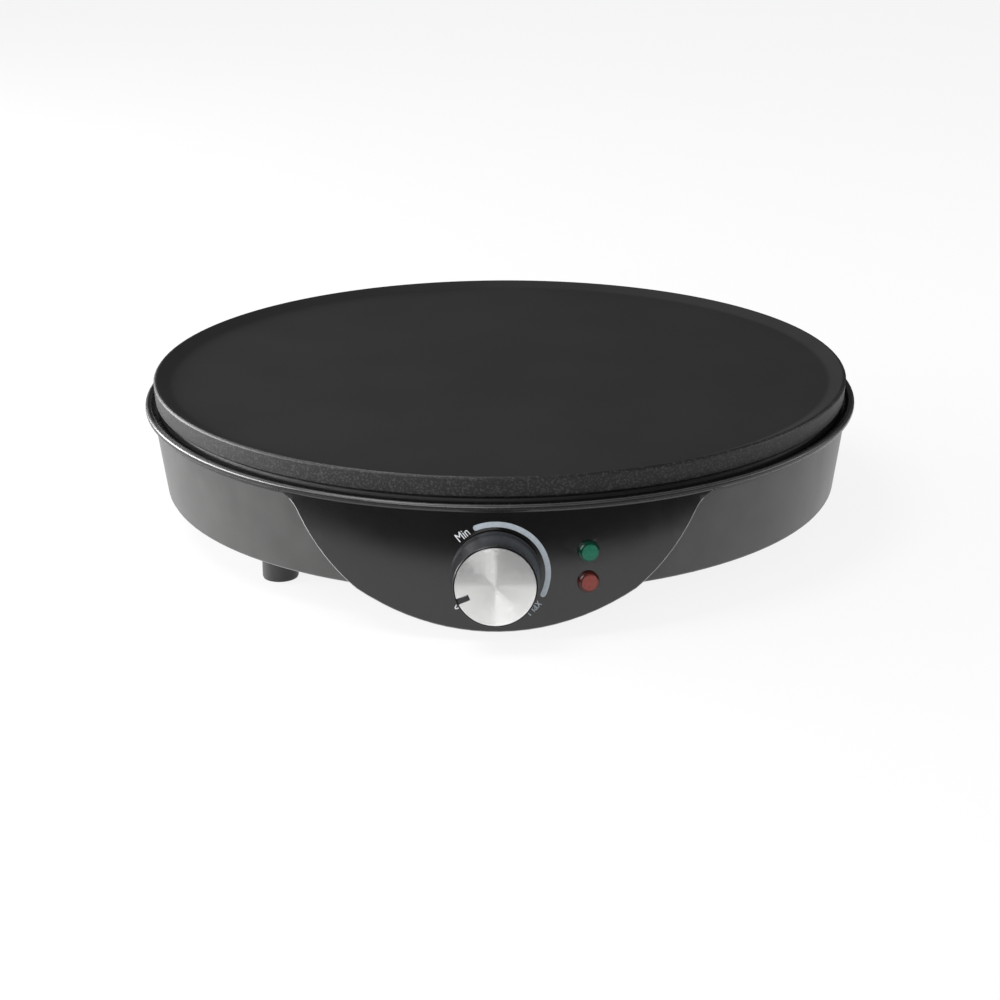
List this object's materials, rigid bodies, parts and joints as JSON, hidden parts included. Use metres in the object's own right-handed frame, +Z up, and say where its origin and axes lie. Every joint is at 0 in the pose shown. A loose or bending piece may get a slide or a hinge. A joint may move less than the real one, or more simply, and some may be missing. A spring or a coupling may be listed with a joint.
{
  "type": "electric crepe maker",
  "caption": "Round electric crepe griddle on a tapered black housing, with a front panel that carries a rotary thermostat dial and green and red indicator lamps.",
  "frame": {"origin": "on the table, at the centre of the footprint, which runs from the dial's rim in front to the collar's rear edge", "axes": "+Z up, out of the griddle's cooking face; the dial faces -Y; +X to the user's right"},
  "size_m": [0.3078, 0.3248, 0.064],
  "materials": {
    "aluminised_sheet": "aluminised steel sheet",
    "base_plastic": "matte black moulded plastic",
    "brass_fittings": "bright brass",
    "copper": "bare copper",
    "element_sheath": "dull steel sheath",
    "foot_rubber": "black rubber",
    "fuse_sleeve": "woven glass sleeve",
    "gland_rubber": "black moulded rubber",
    "gloss_black_moulding": "high-gloss black moulded plastic",
    "green_lens": "clear green indicator lens",
    "knob_black": "satin black moulded plastic",
    "lamp_plastic": "white moulded plastic",
    "nonstick_coating": "matte dark grey non-stick coating on cast aluminium, finely grained",
    "phenolic": "brown phenolic moulding",
    "plated_steel": "zinc-plated steel",
    "porcelain": "unglazed white porcelain",
    "red_lens": "clear red indicator lens",
    "satin_black_moulding": "satin black moulded plastic",
    "spun_aluminium": "spun-brushed aluminium"
  },
  "bodies": {
    "cooker": {"bottom_cover": "base_plastic", "bracket_screws": "plated_steel", "bulb_clips": "plated_steel", "capillary_tube": "copper", "clamp_screws": "plated_steel", "clip_screws": "plated_steel", "cord_gland": "gland_rubber", "cover_screws": "plated_steel", "element_clamps": "plated_steel", "element_end_seals": "porcelain", "element_terminals": "plated_steel", "foot_front_left": "foot_rubber", "foot_rear": "foot_rubber", "foot_right": "foot_rubber", "foot_screws": "plated_steel", "fuse_clip": "plated_steel", "gland_nut": "base_plastic", "green_lamp_lens": "green_lens", "griddle_plate": "nonstick_coating", "heat_shield": "aluminised_sheet", "heating_element": "element_sheath", "lamp_bodies": "lamp_plastic", "lamp_clips": "plated_steel", "plate_screws": "plated_steel", "plate_spacers": "plated_steel", "red_lamp_lens": "red_lens", "rim_and_fascia": "gloss_black_moulding", "sensor_bulb": "copper", "shield_screws": "plated_steel", "side_housing": "satin_black_moulding", "terminal_block": "porcelain", "terminal_block_screws": "brass_fittings", "thermal_fuse": "fuse_sleeve", "thermostat_body": "phenolic", "thermostat_bracket": "plated_steel", "thermostat_nut": "brass_fittings"},
    "dial": {"knob_shell": "knob_black", "knob_face_disc": "spun_aluminium", "knob_spring_clip": "plated_steel", "thermostat_spindle": "plated_steel"}
  },
  "joints": [
    {"name": "dial_turn", "type": "hinge", "parent": "cooker", "child": "dial", "pos_m": [0, -0.1466, 0.027], "axis": [0, 0.9985, -0.0539], "range_deg": [-20, 245]}
  ]
}
